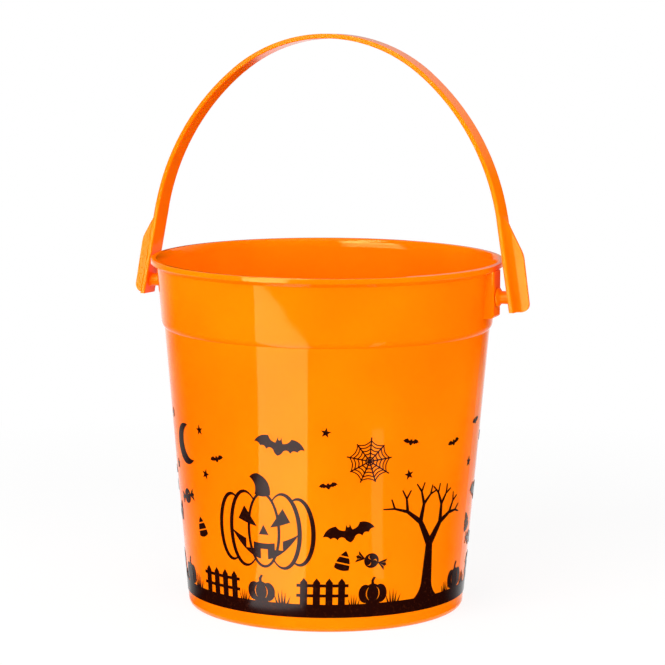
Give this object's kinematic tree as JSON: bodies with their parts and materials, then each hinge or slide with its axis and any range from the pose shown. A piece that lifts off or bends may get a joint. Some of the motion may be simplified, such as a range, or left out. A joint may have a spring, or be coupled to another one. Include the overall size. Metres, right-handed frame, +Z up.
{
  "type": "candy pail",
  "caption": "Tapered round plastic candy pail with a rolled rim, a swinging strap bail on snap-in pins, and a black printed Halloween scene round its lower wall.",
  "frame": {"origin": "centre of the ring that the pail stands on, on the table", "axes": "+Z up along the pail's axis; X along the bail's two pins; the front, where the picture's camera stands a little to the right of, is -Y"},
  "size_m": [0.2044, 0.172, 0.2794],
  "materials": {
    "pail_plastic": "satin gloss orange polypropylene, as moulded",
    "bail_plastic": "satin gloss orange polypropylene, as moulded",
    "print_film": "black heat-transfer ink film, satin"
  },
  "bodies": {
    "pail_body": {"pail": "pail_plastic", "print_ground": "print_film", "print_lantern": "print_film", "print_tree": "print_film", "print_bats": "print_film", "print_small_bats": "print_film", "print_web": "print_film", "print_moon": "print_film", "print_stars": "print_film", "print_candy_corn": "print_film", "print_sweets": "print_film"},
    "bail_body": {"bail": "bail_plastic"}
  },
  "joints": [
    {"name": "bail_swing", "type": "hinge", "parent": "pail_body", "child": "bail_body", "pos_m": [0, 0, 0.1557], "axis": [1, 0, 0], "range_deg": [-137.5, 142.5]}
  ]
}
